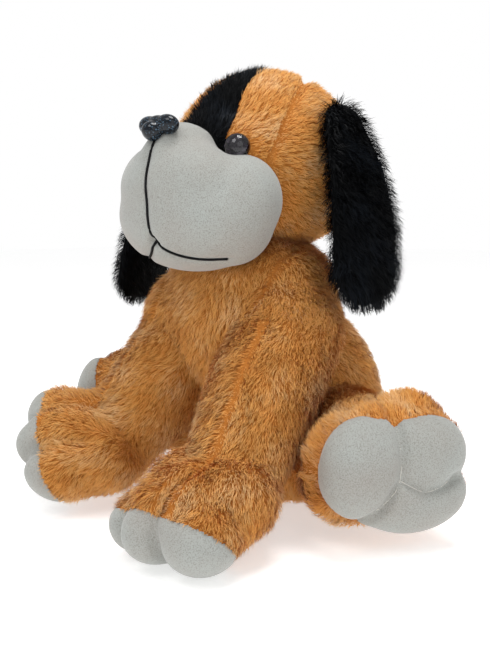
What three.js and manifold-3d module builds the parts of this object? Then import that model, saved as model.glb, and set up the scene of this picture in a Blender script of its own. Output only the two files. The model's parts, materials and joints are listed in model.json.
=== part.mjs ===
// A sitting plush dog, as the sewing room makes it: fabric panels round loose fibre stuffing, with
// moulded eyes and a moulded nose locked by washers inside the head. Millimetres, +Z up. The dog
// faces -Y and its left side is +X. The origin is on the floor under the middle of the toy.
import * as THREE from "three";
import { mergeVertices } from "three/addons/utils/BufferGeometryUtils.js";
import Module from "manifold-3d";

const wasm = await Module();
wasm.setup();

// ---- Driving dimensions ----------------------------------------------------------------------
const SKIN = 3.5; // a fabric panel: backing and the lower half of its pile
const GAP = 0.35; // between neighbouring pieces
const CLEAR = 2.2; // between a moving limb and the socket it turns in
const SIDES = { left: 1, right: -1 };
const COLOUR = {
  orange: "#d2813c",
  black: "#17181b",
  cream: "#e6e2d8",
  fibre: "#f4f2ee",
  plastic: "#22242c",
};

// A stuffed form is a ball: its middle, three radii, a turn about the vertical, and its facets.
const HEAD_PIVOT = [0, 33, 230];
const SKULL = [
  { at: HEAD_PIVOT, radii: [69, 61, 64], detail: [16, 10] },
  { at: [0, 10, 228], radii: [56, 50, 42], detail: [12, 8] },
];
const MUZZLE = [
  { at: [0, -28, 197], radii: [58, 46, 33], detail: [14, 8] },
  { at: [0, -34, 229], radii: [26, 41, 26], detail: [12, 7] },
  { at: [37, -24, 197], radii: [29, 30, 34], detail: [10, 7] },
  { at: [-37, -24, 197], radii: [29, 30, 34], detail: [10, 7] },
];
const TORSO = [
  { at: [0, 18, 128], radii: [71, 54, 64], detail: [14, 8] },
  { at: [0, 53, 62], radii: [78, 68, 79], detail: [14, 9] },
];
const CHEST_HALF_WIDTH = 36; // of the panel between the two shoulders
const SEAT_HEIGHT = 9; // the seat panel is the skin below this
const FILL_TOP = 152; // where the stuffing of the torso ends under the neck
// The pad the head sits on, and the room that the turning head needs.
const NECK = { radius: 34, top: 162.5, pad: [77, 77, 74], socket: [71.2, 71.2, 67] };

// A limb is a stuffed tube along a path, its half width at each point of the path, with a foot.
const FRONT = {
  name: "front_leg",
  tube: { path: [[45, 8, 122], [52, -24, 88], [58, -52, 52], [60, -67, 33]], widths: [39, 36, 32, 30] },
  foot: { at: [62, -88, 30], radii: [39, 43, 31], turn: 3, detail: [10, 7] },
  // Toes: sideways, forwards and up from the middle of the foot, and their radii.
  toes: [
    { offset: [-23, 17, -9], radii: [18, 24, 20] },
    { offset: [-2, 21, -7], radii: [18, 24, 22] },
    { offset: [21, 16, -9], radii: [19, 23, 20] },
  ],
  threads: { a: -13, b: 10 }, // how far sideways the threads between the toes run
  swing: { axis: [1, 0, 0], angles: [-24, -12, 0] },
  sole: { offset: [0, 0, -23], normal: [0, 0.62, -1] },
  floor: 0,
  drift: { left: [0, 0, 0], right: [-4, 5, 0] }, // a soft leg never comes to lie quite as its twin does
};
const HIND = {
  name: "hind_leg",
  tube: { path: [[56, 42, 50], [86, 24, 49], [118, 8, 48]], widths: [39, 36, 34] },
  foot: { at: [124, 0, 50], radii: [46, 25, 38], turn: 60, detail: [10, 7] },
  toes: [
    { offset: [-22, 10, 12], radii: [25, 19, 25] },
    { offset: [22, 10, 12], radii: [25, 19, 25] },
    { offset: [0, 10, -15], radii: [37, 18, 22] },
  ],
  swing: { axis: [0, 0, 1], angles: [0, 9, 18] },
  sole: { offset: [0, 8, 0], normal: [0, 1, -0.12] },
  floor: 9,
  drift: { left: [0, 0, 0], right: [3, 7, 2] },
};
const TAIL = { path: [[0, 102, 44], [0, 113, 49], [0, 121, 60], [0, 123.7, 73]], widths: [14, 13, 12, 9] };
const TAIL_ANGLES = [-25, 0, 25];
const NOD_ANGLES = [8]; // nose down; nose up takes the jaw away from the chest
const TURN_ANGLES = [-20, -7, 7, 20];
const EAR = { path: [[68, 27, 263], [82, 26, 232], [90, 24, 198], [92, 22, 162]], widths: [18, 24, 28, 27] };
const EAR_PANEL = 2.8; // half the thickness of each of the two panels of an ear
const EAR_TURN = 8; // the back edge of an ear stands out by this angle

const EYE = { at: [34, 239], radius: 7.5 };
const NOSE = { at: [0, 249], lobe: [8.5, 6.5, 6.5], spread: 8.5, chin: 7 };
const THREAD = 1.1; // half the thickness of the cord sewn along the mouth
const STEM = 2.2; // half the thickness of the shanks behind the eyes and the nose
const WASHER = { radius: 6, thickness: 1.6, depth: 7 }; // depth below the outside of the skin
const MOUTH_LINE = [[0, 181.5], [10, 173.5], [21, 168.3], [34, 166.4], [46, 167.2]];

// ---- Geometry helpers ------------------------------------------------------------------------
const vector = (p) => new THREE.Vector3(...p);
const radians = THREE.MathUtils.degToRad;
const UP = new THREE.Vector3(0, 0, 1);
const facing = (normal) => new THREE.Quaternion().setFromUnitVectors(UP, vector(normal).normalize());

function solid(geometry) {
  const bare = geometry.clone();
  bare.deleteAttribute("normal");
  bare.deleteAttribute("uv");
  const merged = mergeVertices(bare, 1e-4);
  return new wasm.Manifold(
    new wasm.Mesh({
      numProp: 3,
      vertProperties: merged.attributes.position.array,
      triVerts: new Uint32Array(merged.index.array),
    }),
  );
}

const join = (solids) => solids.reduce((a, b) => a.add(b));

function ballShape({ at, radii, turn = 0, detail = [10, 6] }, grow = 0) {
  return new THREE.SphereGeometry(1, ...detail)
    .rotateX(Math.PI / 2)
    .scale(...radii.map((r) => r + grow))
    .rotateZ(radians(turn))
    .translate(...at);
}

// A round-ended tube along a path; "half" flattens it, and "turn" turns its broad side.
function tubeShape({ path, widths }, grow = 0, { half = null, turn = 0, detail = [10, 7] } = {}) {
  const curve = new THREE.CatmullRomCurve3(path.map(vector));
  const shape = new THREE.SphereGeometry(1, ...detail);
  const position = shape.attributes.position;
  const broad = new THREE.Vector3(Math.sin(radians(turn)), Math.cos(radians(turn)), 0);
  for (let i = 0; i < position.count; i++) {
    const along = -position.getY(i);
    const t = (along + 1) / 2;
    const ring = Math.pow(Math.hypot(position.getX(i), position.getZ(i)), 0.6);
    const angle = Math.atan2(position.getZ(i), position.getX(i));
    const step = Math.min(Math.floor(t * (widths.length - 1)), widths.length - 2);
    const width = THREE.MathUtils.lerp(widths[step], widths[step + 1], t * (widths.length - 1) - step);
    const tangent = curve.getTangent(t);
    const out = new THREE.Vector3().crossVectors(broad, tangent).normalize();
    const over = new THREE.Vector3().crossVectors(tangent, out).normalize();
    const point = curve
      .getPoint(t)
      .addScaledVector(tangent, along * grow)
      .addScaledVector(out, Math.cos(angle) * ring * ((half ?? width) + grow))
      .addScaledVector(over, Math.sin(angle) * ring * (width + grow));
    position.setXYZ(i, point.x, point.y, point.z);
  }
  return shape;
}

function rod(from, to, radius, sides = 10) {
  const axis = vector(to).sub(vector(from));
  const shape = new THREE.CylinderGeometry(radius, radius, axis.length(), sides)
    .rotateX(Math.PI / 2)
    .applyQuaternion(facing(axis.toArray()))
    .translate(...vector(from).addScaledVector(axis, 0.5).toArray());
  return solid(shape);
}

// The half space in front of a plane through a point, as a large block.
function beyond(point, normal) {
  const size = 600;
  return solid(
    new THREE.BoxGeometry(size, size, size)
      .translate(0, 0, size / 2)
      .applyQuaternion(facing(normal))
      .translate(...point),
  );
}

// A flat outline in x and y, given thickness upwards.
function slabShape(outline, depth) {
  const shape = new THREE.Shape(outline.map(([x, y]) => new THREE.Vector2(x, y)));
  return new THREE.ExtrudeGeometry(shape, { depth, bevelEnabled: false });
}

const forms = (list, grow = 0) => join(list.map((form) => solid(ballShape(form, grow))));
const above = (height) => beyond([0, 0, height], [0, 0, 1]);
const below = (height) => beyond([0, 0, height], [0, 0, -1]);

// The two sides of a plane, half a gap back from it on each side.
function cut(body, point, normal) {
  const direction = vector(normal).normalize();
  const ahead = vector(point).addScaledVector(direction, GAP / 2).toArray();
  const behind = vector(point).addScaledVector(direction, -GAP / 2).toArray();
  const back = direction.clone().negate().toArray();
  return [body.intersect(beyond(ahead, direction.toArray())), body.intersect(beyond(behind, back))];
}

// Everything that shapes sweep through when they turn about an axis through a pivot.
function swept(shapes, pivot, axis, angles) {
  return angles.flatMap((angle) =>
    shapes.map((shape) =>
      shape
        .clone()
        .translate(...pivot.map((v) => -v))
        .applyQuaternion(new THREE.Quaternion().setFromAxisAngle(vector(axis), radians(angle)))
        .translate(...pivot),
    ),
  );
}

// Where a line from inside a group of balls comes out of the last of them, lifted off it.
function surface(list, from, direction, lift) {
  const heading = vector(direction).normalize();
  let best = null;
  for (const { at, radii, turn = 0 } of list) {
    const local = (v) => v.clone().applyAxisAngle(UP, -radians(turn)).divide(vector(radii));
    const start = local(vector(from).sub(vector(at)));
    const step = local(heading);
    const a = step.dot(step);
    const b = start.dot(step);
    const c = start.dot(start) - 1;
    if (b * b < a * c) continue;
    const distance = (-b + Math.sqrt(b * b - a * c)) / a;
    if (best && best.distance >= distance) continue;
    const hit = start.clone().addScaledVector(step, distance);
    const normal = hit.divide(vector(radii)).applyAxisAngle(UP, radians(turn)).normalize();
    best = { distance, normal, point: vector(from).addScaledVector(heading, distance) };
  }
  return { point: best.point.addScaledVector(best.normal, lift).toArray(), normal: best.normal.toArray() };
}

const along = (point, normal, distance) => vector(point).addScaledVector(vector(normal), distance).toArray();

function cord(points, radius = THREAD, detail = [6, 12]) {
  return solid(tubeShape({ path: points, widths: [radius, radius] }, 0, { detail }));
}

const model = new THREE.Group();

function add(name, body, colour) {
  const mesh = body.getMesh();
  const geometry = new THREE.BufferGeometry()
    .setAttribute("position", new THREE.BufferAttribute(mesh.vertProperties, 3))
    .setIndex(new THREE.BufferAttribute(mesh.triVerts, 1));
  const shown = new THREE.Mesh(geometry, new THREE.MeshStandardMaterial({ color: colour }));
  shown.name = name;
  model.add(shown);
}

const flip = ([x, y, z], side) => [x * side, y, z];
const flipTube = (tube, side) => ({ ...tube, path: tube.path.map((p) => flip(p, side)) });
const flipBall = (form, side) => ({ ...form, at: flip(form.at, side), turn: (form.turn ?? 0) * side });

// ---- Head ------------------------------------------------------------------------------------
// A moulded part on a shank: where it sits on the skin, the hole for it, and the washer behind.
function shank(list, [x, z], side = 1) {
  const { point, normal } = surface(list, [x * side, -5, z], [0, -1, 0], 0);
  const inside = (depth) => along(point, normal, -depth);
  return {
    point,
    normal,
    stem: rod(inside(SKIN + 6.5), along(point, normal, 0.8), STEM),
    hole: rod(inside(SKIN + 9), along(point, normal, 2), STEM + GAP),
    pocket: rod(inside(SKIN - 1), inside(SKIN + 10), WASHER.radius + GAP * 2, 10),
    washer: rod(inside(WASHER.depth + WASHER.thickness), inside(WASHER.depth), WASHER.radius, 10).subtract(
      rod(inside(SKIN + 9), along(point, normal, 2), STEM + GAP),
    ),
  };
}

const eyes = { left: shank(SKULL, EYE.at, SIDES.left), right: shank(SKULL, EYE.at, SIDES.right) };
const snout = shank(MUZZLE, NOSE.at);
const holes = join([snout, ...Object.values(eyes)].map((s) => s.hole));
const pockets = join([snout, ...Object.values(eyes)].map((s) => s.pocket));

const skullSkin = forms(SKULL).subtract(forms(SKULL, -SKIN)).subtract(forms(MUZZLE, GAP)).subtract(holes);
const muzzleSkin = forms(MUZZLE).subtract(forms(MUZZLE, -SKIN)).subtract(forms(SKULL, GAP)).subtract(holes);

// The blaze is a tapering panel over the forehead; the face is divided from the side of the head
// by a slanting dart; the muzzle is divided from the chin along the mouth.
const BLAZE_OUTLINE = [[25, -62], [19, -25], [13, 5], [3, 37], [-3, 37], [-13, 5], [-19, -25], [-25, -62]];
const blazePlace = (outline) =>
  solid(slabShape(outline, 90).translate(0, 0, -45).rotateX(radians(40)).translate(0, 9, 275));
const blaze = blazePlace(BLAZE_OUTLINE);
const widened = BLAZE_OUTLINE.map(([x, y]) => [x + Math.sign(x) * GAP, y + Math.sign(y) * GAP]);
const roundBlaze = blazePlace(widened);
add("forehead_blaze", skullSkin.intersect(blaze), COLOUR.black);

const chinOutline = (shift) => [
  ...MOUTH_LINE.map(([x, z]) => [x, z + shift]),
  [80, 171 + shift],
  [80, 120],
  [-80, 120],
  [-80, 171 + shift],
  ...MOUTH_LINE.slice(1).reverse().map(([x, z]) => [-x, z + shift]),
];
const chinPlace = (outline) => solid(slabShape(outline, 160).rotateX(Math.PI / 2).translate(0, 40, 0));
add("chin_panel", muzzleSkin.intersect(chinPlace(chinOutline(-GAP / 2))), COLOUR.cream);
const overMouth = muzzleSkin.subtract(chinPlace(chinOutline(GAP / 2)));

for (const [name, side] of Object.entries(SIDES)) {
  const [half] = cut(skullSkin, [0, 0, 0], [side, 0, 0]);
  const [sidePanel, facePanel] = cut(half, [48 * side, 0, 255], [0.727 * side, 0.576, -0.361]);
  add(`head_side_${name}`, sidePanel.subtract(roundBlaze), COLOUR.orange);
  add(`face_${name}`, facePanel.subtract(roundBlaze).intersect(above(200)), COLOUR.orange);
  add(`muzzle_${name}`, cut(overMouth, [0, 0, 0], [side, 0, 0])[0], COLOUR.cream);

  const { point, normal, stem, washer } = eyes[name];
  const back = rod(along(point, normal, 0.5), along(point, normal, 1.9), EYE.radius, 12).add(stem);
  const dome = solid(
    ballShape({ at: along(point, normal, 0.2), radii: [7.6, 7.6, 7.6], detail: [12, 8] }),
  ).intersect(beyond(along(point, normal, 1.9 + GAP), normal));
  add(`eye_back_${name}`, back, COLOUR.plastic);
  add(`eye_dome_${name}`, dome, COLOUR.plastic);
  add(`eye_washer_${name}`, washer, COLOUR.plastic);
}
const headFill = forms([...SKULL, ...MUZZLE], -SKIN - GAP);
add("head_stuffing", headFill.subtract(pockets).subtract(holes), COLOUR.fibre);

// The nose is three lobes across the tip of the muzzle.
const noseDown = [0, -snout.normal[2], snout.normal[1]];
const noseMiddle = along(snout.point, snout.normal, 2.5);
const lobes = [
  { at: along(noseMiddle, [1, 0, 0], NOSE.spread), radii: NOSE.lobe },
  { at: along(noseMiddle, [1, 0, 0], -NOSE.spread), radii: NOSE.lobe },
  { at: along(noseMiddle, noseDown, NOSE.chin), radii: [7, 6.5, 6] },
];
add("nose", forms(lobes).subtract(forms(MUZZLE, GAP)).add(snout.stem), COLOUR.plastic);
add("nose_washer", snout.washer, COLOUR.plastic);

// The mouth is three cords: one down the middle of the muzzle and one along each side of the seam.
const onMuzzle = ([x, z]) => surface(MUZZLE, [x, -12, z], [0, -1, 0], THREAD + GAP * 2).point;
const philtrum = [];
for (let z = 238; z >= 183; z -= 5) philtrum.push(onMuzzle([0, z]));
add("mouth_cord_middle", cord(philtrum), COLOUR.black);
for (const [name, side] of Object.entries(SIDES)) {
  const line = [[3, 179], ...MOUTH_LINE.slice(1)].map(([x, z]) => onMuzzle([x * side, z]));
  add(`mouth_cord_${name}`, cord(line), COLOUR.black);
}

// ---- Ears: two pile panels each, hanging from the top of the head ------------------------------
for (const [name, side] of Object.entries(SIDES)) {
  for (const [layer, shift] of [["outer", 1], ["inner", -1]]) {
    const step = shift * (EAR_PANEL + GAP / 2);
    const panel = { ...EAR, path: EAR.path.map(([x, y, z]) => [(x + step * 0.9) * side, y, z + step * 0.4]) };
    const shape = tubeShape(panel, 0, { half: EAR_PANEL, turn: EAR_TURN * side, detail: [12, 9] });
    add(`ear_${layer}_${name}`, solid(shape), COLOUR.black);
  }
}

// ---- Legs --------------------------------------------------------------------------------------
// Sideways, forwards and up from the middle of a foot, as a direction in the toy.
function footwards({ turn }, [sideways, forwards, up]) {
  const c = Math.cos(radians(turn));
  const s = Math.sin(radians(turn));
  return [sideways * c + forwards * s, sideways * s - forwards * c, up];
}

function footForms({ foot, toes }) {
  const placed = toes.map(({ offset, radii }) => ({
    at: vector(foot.at).add(vector(footwards(foot, offset))).toArray(),
    radii,
    turn: foot.turn,
    detail: [8, 6],
  }));
  return [foot, ...placed];
}

// A leg drifts from its twin by more and more along its path, and its foot by the whole of the drift.
function placed(leg, name) {
  const side = SIDES[name];
  const drift = vector(leg.drift[name]).multiply(vector([side, 1, 1]));
  const last = leg.tube.path.length - 1;
  const moved = (p, share) => vector(p).addScaledVector(drift, share).toArray();
  return {
    ...leg,
    tube: { ...leg.tube, path: leg.tube.path.map((p, i) => moved(p, i / last)) },
    foot: { ...leg.foot, at: moved(leg.foot.at, 1) },
  };
}

function addLeg(leg, name, side) {
  const balls = footForms(leg).map((form) => flipBall(form, side));
  const inside = balls.slice(0, 1);
  const tube = flipTube(leg.tube, side);
  const whole = (grow, balls) =>
    solid(tubeShape(tube, grow)).add(forms(balls, grow)).intersect(above(leg.floor - grow));
  const skin = whole(0, balls).subtract(whole(-SKIN, inside));
  const middle = flip(leg.foot.at, side);
  const solePoint = vector(leg.foot.at).add(vector(footwards(leg.foot, leg.sole.offset))).toArray();
  const [sole, upper] = cut(skin, flip(solePoint, side), flip(footwards(leg.foot, leg.sole.normal), side));
  const run = vector(tube.path[tube.path.length - 1]).sub(vector(tube.path[0]));
  const across = leg.name === FRONT.name ? [-run.y * side, run.x * side, 0] : [0, 0, 1];
  const [outer, inner] = cut(upper, middle, across);
  add(`${leg.name}_outer_${name}`, outer, COLOUR.orange);
  add(`${leg.name}_inner_${name}`, inner, COLOUR.orange);
  add(`${leg.name}_sole_${name}`, sole, COLOUR.cream);
  add(`${leg.name}_stuffing_${name}`, whole(-SKIN - GAP, inside), COLOUR.fibre);
  return balls;
}

// A pulled thread over the skin of a foot, through directions from the middle of that foot.
function stitch(leg, balls, side, start, directions) {
  const from = flip(vector(leg.foot.at).add(vector(footwards(leg.foot, start))).toArray(), side);
  const points = directions.map(
    (d) => surface(balls, from, flip(footwards(leg.foot, d), side), THREAD + GAP).point,
  );
  return cord(points, THREAD, [5, 8]);
}

const OUTER_BRANCH = [[0.4, 1, -0.1], [0.8, 1, -0.15], [1.3, 1, 0]];
for (const [name, side] of Object.entries(SIDES)) {
  const frontLeg = placed(FRONT, name);
  const front = addLeg(frontLeg, name, side);
  for (const [place, offset] of Object.entries(FRONT.threads)) {
    const path = [[0, 0.8, 1], [0, 1, 0.8], [0, 1, 0.5], [0, 1, 0.2], [0, 1, -0.05], [0, 1, -0.3]];
    const thread = stitch(frontLeg, front, side, [offset, 6, 0], path);
    add(`front_toe_thread_${place}_${name}`, thread, COLOUR.cream);
  }
  const hindLeg = placed(HIND, name);
  const hind = addLeg(hindLeg, name, side);
  const branches = [
    [[0, 1, 1.9], [0, 1, 1.3], [0, 1, 0.8], [0, 1, 0.4], [0, 1, 0], [0, 1, -0.15]],
    [[-1.2, 1, -0.5], [-0.8, 1, -0.2], [-0.4, 1, -0.05], [0, 1, 0], ...OUTER_BRANCH],
  ];
  const threads = branches.map((path) => stitch(hindLeg, hind, side, [0, 0, 0], path));
  add(`hind_toe_thread_${name}`, join(threads), COLOUR.cream);
}

// ---- Tail --------------------------------------------------------------------------------------
const tailSkin = solid(tubeShape(TAIL)).subtract(solid(tubeShape(TAIL, -SKIN)));
for (const [name, side] of Object.entries(SIDES)) {
  add(`tail_${name}`, cut(tailSkin, [0, 0, 0], [side, 0, 0])[0], COLOUR.orange);
}
add("tail_stuffing", solid(tubeShape(TAIL, -SKIN - GAP)), COLOUR.fibre);

// ---- Torso: hollowed wherever the head, a limb or the tail moves --------------------------------
const headBall = (radii) => ({ at: HEAD_PIVOT, radii, detail: [18, 12] });
const jawBalls = MUZZLE.filter(({ at }) => at[2] < 220);
const jaw = jawBalls.map((form) => ballShape({ ...form, detail: [10, 7] }, CLEAR + 1));
const nodding = swept(jaw, HEAD_PIVOT, [1, 0, 0], NOD_ANGLES);
const room = [ballShape(headBall(NECK.socket)), ...swept(nodding, HEAD_PIVOT, [0, 0, 1], TURN_ANGLES)];
room.push(...swept([tubeShape(TAIL, CLEAR)], TAIL.path[0], [0, 0, 1], TAIL_ANGLES));
for (const [name, side] of Object.entries(SIDES)) {
  for (const leg of [FRONT, HIND]) {
    const tube = flipTube(placed(leg, name).tube, side);
    const angles = leg.swing.angles.map((a) => (leg === HIND ? a * side : a));
    room.push(...swept([tubeShape(tube, CLEAR)], tube.path[0], leg.swing.axis, angles));
  }
}
const sockets = join(room.map(solid));
const neckBall = (grow) =>
  solid(ballShape(headBall(NECK.pad), grow)).intersect(
    rod([0, HEAD_PIVOT[1], 130], [0, HEAD_PIVOT[1], NECK.top + grow], NECK.radius + grow, 20),
  );
add("neck_stuffing", neckBall(0).subtract(solid(ballShape(headBall(NECK.socket)))), COLOUR.fibre);

const hollow = sockets.add(neckBall(0.8));
const torsoSkin = forms(TORSO).intersect(above(0)).subtract(forms(TORSO, -SKIN).intersect(above(SKIN)));
const torsoRest = torsoSkin.subtract(hollow);
const [upperSkin, seatSkin] = cut(torsoRest, [0, 0, SEAT_HEIGHT], [0, 0, 1]);
add("seat_panel", seatSkin, COLOUR.orange);
const chestBox = (grow) =>
  solid(new THREE.BoxGeometry((CHEST_HALF_WIDTH + grow) * 2, 200, 400).translate(0, -85 + grow, 200));
add("chest_panel", upperSkin.intersect(chestBox(0)), COLOUR.orange);
for (const [name, side] of Object.entries(SIDES)) {
  add(`body_${name}`, cut(upperSkin.subtract(chestBox(GAP)), [0, 0, 0], [side, 0, 0])[0], COLOUR.orange);
}
const fill = forms(TORSO, -SKIN - GAP).intersect(above(SKIN + GAP));
add("body_stuffing", fill.intersect(below(FILL_TOP)).subtract(hollow), COLOUR.fibre);

export default model;
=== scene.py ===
"""A sitting plush dog: stuffed pile fabric, cream velour on the muzzle and soles, moulded eyes and nose.

Sizes are millimetres in the constants and in the arrays that hold points; MM turns them into metres where a
mesh is made. The dog faces -Y and its left side is +X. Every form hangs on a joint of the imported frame.
"""

import json
import math
import bmesh
import bpy
import numpy as np
from mathutils import Matrix, Vector
from mathutils.bvhtree import BVHTree
from mathutils.kdtree import KDTree


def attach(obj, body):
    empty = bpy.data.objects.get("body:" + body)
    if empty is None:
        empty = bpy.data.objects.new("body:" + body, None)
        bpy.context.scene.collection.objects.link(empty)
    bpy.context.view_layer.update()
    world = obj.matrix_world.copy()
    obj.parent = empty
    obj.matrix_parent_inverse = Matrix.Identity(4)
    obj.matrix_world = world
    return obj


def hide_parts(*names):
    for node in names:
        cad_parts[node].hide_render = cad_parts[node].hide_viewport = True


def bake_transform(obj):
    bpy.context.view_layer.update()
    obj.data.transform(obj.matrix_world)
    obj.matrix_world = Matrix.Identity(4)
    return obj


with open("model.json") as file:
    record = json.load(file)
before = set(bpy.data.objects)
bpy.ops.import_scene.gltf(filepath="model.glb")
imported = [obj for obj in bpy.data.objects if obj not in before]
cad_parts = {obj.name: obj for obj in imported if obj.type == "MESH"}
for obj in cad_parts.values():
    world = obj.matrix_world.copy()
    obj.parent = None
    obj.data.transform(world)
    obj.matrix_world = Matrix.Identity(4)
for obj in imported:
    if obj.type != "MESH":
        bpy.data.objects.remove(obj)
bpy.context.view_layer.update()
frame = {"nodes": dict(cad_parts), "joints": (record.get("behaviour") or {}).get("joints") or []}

MM = 0.001
SIDES = {"left": 1, "right": -1}
PIVOTS = {joint["name"]: np.array(joint["pos_m"]) / MM for joint in frame["joints"]}
UP = np.array([0.0, 0.0, 1.0])
FAR = 99.0

# ---- Driving sizes ---------------------------------------------------------------------------------
PILE_ROOM = 2.6  # the backing lies this far inside the form that the pile fills
PANEL = 1.5  # thickness of a fabric panel laid over a stuffed skin
PANEL_LIFT = 0.5  # how far its outside stands off that skin
SKIN_VOXEL = 3.0
FINE_VOXEL = 2.2

# A form is a ball: its middle from the joint of the head, and three radii.
SKULL = [((0, 0, 0), (69, 61, 64)), ((0, -23, -2), (56, 50, 42)), ((0, 0, -20), (66, 54, 42))]
MUZZLE = [
    ((0, -64, -35), (58, 43, 37)),
    ((0, -75, -5), (24, 30, 28)),
    ((0, -79, -18), (46, 29, 32)),
    ((35, -59, -26), (26, 28, 29)),
    ((-35, -59, -26), (26, 28, 29)),
    ((28, -61, -37), (28, 30, 31)),
    ((-28, -61, -37), (28, 30, 31)),
]
TORSO = [
    ((0, -15, -102), (71, 54, 64)),
    ((0, 20, -168), (78, 68, 79)),
    ((0, -14, -78), (66, 52, 36)),
    ((40, -24, -108), (42, 42, 44)),
    ((-40, -24, -108), (42, 42, 44)),
]

# A limb is a row of balls along a path, with a foot; the foot's frame is sideways, forwards and up.
FRONT = {
    "name": "front_leg",
    "joint": "front_leg_{}_lift",
    "path": {
        "left": [(0, 0, 0), (6, -32, -34), (11, -60, -70), (12, -75, -89)],
        "right": [(-5, 3, 0), (-2, -24, -34), (12, -46, -66), (22, -58, -84)],
    },
    "widths": [37, 37, 33, 31],
    "foot": {"left": (13, -96, -92), "right": (26, -74, -79)},
    "foot_radii": (39, 43, 31),
    "turn": {"left": 3, "right": 26},
    "tip": {"left": 4, "right": 25},
    "roll": {"left": 0, "right": 38},
    "lobes": [
        ((-28, 13, -9), (17, 25, 20)),
        ((-8, 21, -8), (19, 26, 21)),
        ((20, 17, -7), (23, 26, 23)),
        ((16, -12, 7), (27, 31, 27)),
        ((-14, -8, 8), (25, 32, 26)),
    ],
    "creases": [[(-22, 40), (-20, -40)], [(7, 40), (6, -40)]],
    "crease_from": 12,
    "sole": ((0, 0, -22), (0, 0.72, -1)),
    "seam": 7,
    "floor": 0.0,
    "bend": 42,
}
HIND = {
    "name": "hind_leg",
    "joint": "hind_leg_{}_swing",
    "path": {
        "left": [(0, 0, 0), (30, -18, -1), (62, -34, -2)],
        "right": [(0, 0, 2), (28, -15, 4), (58, -28, 6)],
    },
    "widths": [39, 37, 36],
    "foot": {"left": (68, -42, 0), "right": (64, -36, 8)},
    "foot_radii": (46, 26, 38),
    "turn": {"left": 60, "right": 60},
    "tip": {"left": 0, "right": 0},
    "roll": {"left": 0, "right": 0},
    "lobes": [
        ((-20, 10, 3), (26, 19, 32)),
        ((21, 10, 9), (27, 19, 26)),
        ((12, 10, -15), (38, 18, 25)),
        ((-16, -12, -4), (34, 22, 36)),
        ((18, -12, 11), (31, 22, 32)),
    ],
    "creases": [[(0, 40), (0, -2), (-11, -19), (-24, -33)], [(0, -4), (14, -11), (28, -9), (36, -5)]],
    "crease_from": 8,
    "sole": ((0, 9, 0), (-0.1, 1, -0.12)),
    "seam": 0,
    "floor": 9.0,
    "bend": 40,
}
TAIL = {"path": [(0, 0, 0), (0, 11, 5), (0, 19, 16), (0, 21.7, 29)], "widths": [14, 13, 12, 9]}
EAR = {
    "path": {
        "left": [(4, 0, -14), (15, -1, -42), (22, -3, -72), (24, -4, -99)],
        "right": [(4, 0, -18), (20, -3, -46), (34, -6, -78), (41, -8, -106)],
    },
    "widths": [17, 24, 28, 28],
}
EAR_HALF = 5.0  # half the thickness of the two pile panels together
EAR_TURN = 8

# Pile: length, width, strands per square millimetre, and how far a strand leans from upright.
ORANGE_PILE = {"length": 6.6, "width": 0.36, "density": 1.35, "lean": 62}
BLACK_PILE = {"length": 8.5, "width": 0.42, "density": 1.2, "lean": 50}
PARTING = 4.0  # the pile lies away from a seam within this distance
FLOOR_CLEAR = 0.3  # no strand comes nearer the floor than this
AMBIENT = 0.56  # how strongly the white world lights the toy

CORD = 0.85  # half the thickness of the cord sewn along the mouth
THREAD = 0.4  # half the thickness of the threads that divide the toes
STITCH = {"half": 0.3, "length": 2.6, "step": 4.4}
EYE = {"at": (31, 5), "radius": 7.8, "pupil": 3.6}  # across and up from the joint of the head
NOSE_SEAT = {"inside": (0, -75, -4), "way": (0, -0.68, 0.73)}  # from the joint of the head
NOSE = [
    ((7.5, 0, 1.2), (8.4, 6.2, 5.6)),
    ((-7.5, 0, 1.2), (8.4, 6.2, 5.6)),
    ((0, 0, 1.2), (10, 6.2, 5.4)),
    ((0, 1, -5.5), (6.5, 6.2, 5.6)),
]
JAW = (0, -55, -35)  # the middle of the jaw, from the joint of the head; the mouth is seen from there
# The middle cord runs from below the nose to where the mouth parts, in degrees above the level.
CORD_TURN = (48, math.degrees(math.atan2(-17, 46)))
# Ways out from the jaw to the mouth line, from its middle to its left end.
MOUTH = [(0, -46, -17), (11, -45, -27), (24, -42, -34), (37, -34, -37), (48, -23, -36)]


# ---- Forms -----------------------------------------------------------------------------------------
def balls(forms, pivot, grow=0.0):
    """Each form as its middle and the matrix that takes a unit ball to it."""
    return [(pivot + np.array(at), np.diag([r + grow for r in radii])) for at, radii in forms]


def along(path, count):
    """Points and directions at even steps of a Catmull-Rom curve through a path."""
    points = np.array(path, float)
    ends = np.vstack([2 * points[0] - points[1], points, 2 * points[-1] - points[-2]])
    found, headings = [], []
    for step in np.linspace(0, len(points) - 1, count):
        i = min(int(step), len(points) - 2)
        t = step - i
        a, b, c, d = ends[i : i + 4]
        found.append(
            0.5 * (2 * b + (c - a) * t + (2 * a - 5 * b + 4 * c - d) * t**2 + (3 * b - a - 3 * c + d) * t**3)
        )
        slope = (c - a) + 2 * (2 * a - 5 * b + 4 * c - d) * t + 3 * (3 * b - a - 3 * c + d) * t**2
        headings.append(slope / np.linalg.norm(slope))
    return np.array(found), np.array(headings)


def chain(path, widths, pivot, grow=0.0, half=None, turn=0.0, count=15):
    """A round-ended tube as a row of balls; "half" flattens it, across the direction that "turn" sets."""
    points, headings = along(path, count)
    sizes = np.interp(np.linspace(0, 1, count), np.linspace(0, 1, len(widths)), widths)
    broad = np.array([math.sin(math.radians(turn)), math.cos(math.radians(turn)), 0.0])
    row = []
    for point, heading, size in zip(points, headings, sizes):
        out = np.cross(broad, heading)
        out /= np.linalg.norm(out)
        over = np.cross(heading, out)
        radii = [(half or size) + grow, size + grow, size * 0.9 + grow]
        row.append((pivot + point, np.column_stack([out, over, heading]) @ np.diag(radii)))
    return row


def mirrored(point, side):
    return np.array(point, float) * [side, 1, 1]


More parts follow.
